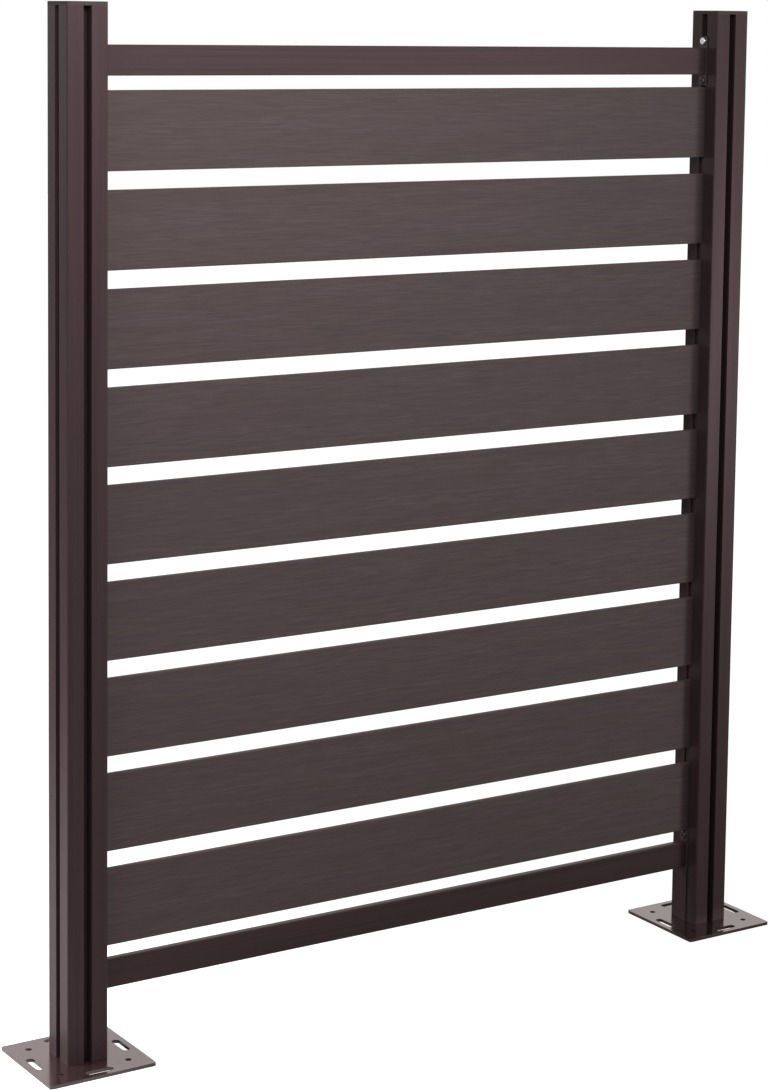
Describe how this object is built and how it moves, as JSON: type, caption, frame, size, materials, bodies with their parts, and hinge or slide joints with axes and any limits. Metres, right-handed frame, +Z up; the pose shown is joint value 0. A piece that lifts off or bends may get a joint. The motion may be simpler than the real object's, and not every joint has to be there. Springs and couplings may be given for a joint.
{
  "type": "garden privacy screen",
  "caption": "Free-standing garden privacy screen: wide horizontal boards with even gaps between two slotted square posts on base plates, with a rail above and below.",
  "frame": {"origin": "on the ground, in the middle between the two posts and halfway through their thickness", "axes": "+X along the screen to the right seen from the front, +Y away from the viewer, +Z up"},
  "size_m": [1.576, 0.2, 1.815],
  "materials": {
    "powder_coated_aluminium": "dark brown powder coat, satin",
    "powder_coated_steel": "dark brown powder coat, semi-gloss",
    "bracket_casting": "dark brown powder coat, satin",
    "cap_plastic": "dark brown moulded plastic, matt",
    "wood_grain_composite": "dark brown, brushed wood grain",
    "zinc_plated_steel": "bright zinc",
    "dark_screw_steel": "dark brown, satin"
  },
  "bodies": {
    "root": {"left_post": "powder_coated_aluminium", "left_post_cap": "cap_plastic", "left_base_plate": "powder_coated_steel", "left_base_screws": "dark_screw_steel", "left_strip": "powder_coated_aluminium", "left_spacer_1": "powder_coated_aluminium", "left_spacer_2": "powder_coated_aluminium", "left_spacer_3": "powder_coated_aluminium", "left_spacer_4": "powder_coated_aluminium", "left_spacer_5": "powder_coated_aluminium", "left_spacer_6": "powder_coated_aluminium", "left_spacer_7": "powder_coated_aluminium", "left_spacer_8": "powder_coated_aluminium", "right_post": "powder_coated_aluminium", "right_post_cap": "cap_plastic", "right_base_plate": "powder_coated_steel", "right_base_screws": "dark_screw_steel", "right_strip": "powder_coated_aluminium", "right_spacer_1": "powder_coated_aluminium", "right_spacer_2": "powder_coated_aluminium", "right_spacer_3": "powder_coated_aluminium", "right_spacer_4": "powder_coated_aluminium", "right_spacer_5": "powder_coated_aluminium", "right_spacer_6": "powder_coated_aluminium", "right_spacer_7": "powder_coated_aluminium", "right_spacer_8": "powder_coated_aluminium", "top_rail": "powder_coated_aluminium", "top_left_bracket": "bracket_casting", "top_right_bracket": "bracket_casting", "bottom_rail": "powder_coated_aluminium", "bottom_left_bracket": "bracket_casting", "bottom_right_bracket": "bracket_casting", "top_bracket_upper_screws": "zinc_plated_steel", "top_bracket_lower_screws": "dark_screw_steel", "bottom_bracket_screws": "dark_screw_steel", "board_1": "wood_grain_composite", "board_2": "wood_grain_composite", "board_3": "wood_grain_composite", "board_4": "wood_grain_composite", "board_5": "wood_grain_composite", "board_6": "wood_grain_composite", "board_7": "wood_grain_composite", "board_8": "wood_grain_composite", "board_9": "wood_grain_composite"}
  },
  "joints": []
}
